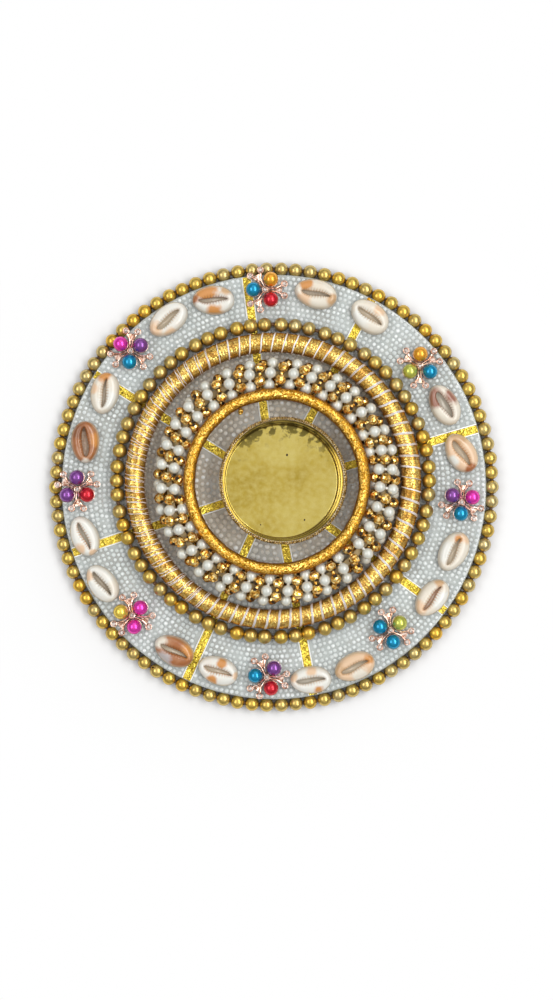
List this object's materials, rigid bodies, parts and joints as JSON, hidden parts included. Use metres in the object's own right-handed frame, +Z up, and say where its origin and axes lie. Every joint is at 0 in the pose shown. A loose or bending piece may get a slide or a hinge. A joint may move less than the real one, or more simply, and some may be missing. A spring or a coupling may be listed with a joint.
{
  "type": "diya plate",
  "caption": "Round ritual lamp plate: a resin-coated pearl board edged with beads, set with cowries and flower charms, with wound rings about a shallow gilt cup.",
  "frame": {"origin": "middle of the board's flat underside, on the surface that the plate stands on", "axes": "+Z up through the plate, +X to the right and +Y away from a person who looks down on it"},
  "size_m": [0.2032, 0.2032, 0.021],
  "materials": {
    "board": "plain fibreboard",
    "seed_pearls": "pearly",
    "glitter": "gold glitter",
    "resin": "clear gloss",
    "matte_gold": "matte gold plated bead",
    "gold_foil": "gold foil",
    "silver_thread": "metallic thread",
    "core": "plain",
    "pearl": "pearl gloss",
    "copper_gold": "bright faceted gold plating",
    "gilt": "polished",
    "gold_cord": "metallic cord",
    "shell": "polished shell",
    "rose_gold": "rose gold plating"
  },
  "bodies": {
    "root": {"base_board": "board", "pearl_field_1": "seed_pearls", "pearl_field_2": "seed_pearls", "pearl_field_3": "seed_pearls", "pearl_field_4": "seed_pearls", "pearl_field_5": "seed_pearls", "pearl_field_6": "seed_pearls", "pearl_field_7": "seed_pearls", "pearl_field_8": "seed_pearls", "glitter_strip_1": "glitter", "glitter_strip_2": "glitter", "glitter_strip_3": "glitter", "glitter_strip_4": "glitter", "glitter_strip_5": "glitter", "glitter_strip_6": "glitter", "glitter_strip_7": "glitter", "glitter_strip_8": "glitter", "resin_coat": "resin", "rim_bead_string": "matte_gold", "inner_bead_string": "matte_gold", "foil_bangle": "gold_foil", "zari_winding": "silver_thread", "core_ring": "core", "pearl_winding": "pearl", "gold_winding": "copper_gold", "glitter_ring": "glitter", "cup": "gilt", "cup_trim_cord": "gold_cord", "cowrie_1": "shell", "cowrie_2": "shell", "cowrie_3": "shell", "cowrie_4": "shell", "cowrie_5": "shell", "cowrie_6": "shell", "cowrie_7": "shell", "cowrie_8": "shell", "cowrie_9": "shell", "cowrie_10": "shell", "cowrie_11": "shell", "cowrie_12": "shell", "cowrie_13": "shell", "cowrie_14": "shell", "cowrie_15": "shell", "cowrie_16": "shell", "flower_charm_1": "rose_gold", "flower_charm_2": "rose_gold", "flower_charm_3": "rose_gold", "flower_charm_4": "rose_gold", "flower_charm_5": "rose_gold", "flower_charm_6": "rose_gold", "flower_charm_7": "rose_gold", "flower_charm_8": "rose_gold"}
  },
  "joints": []
}
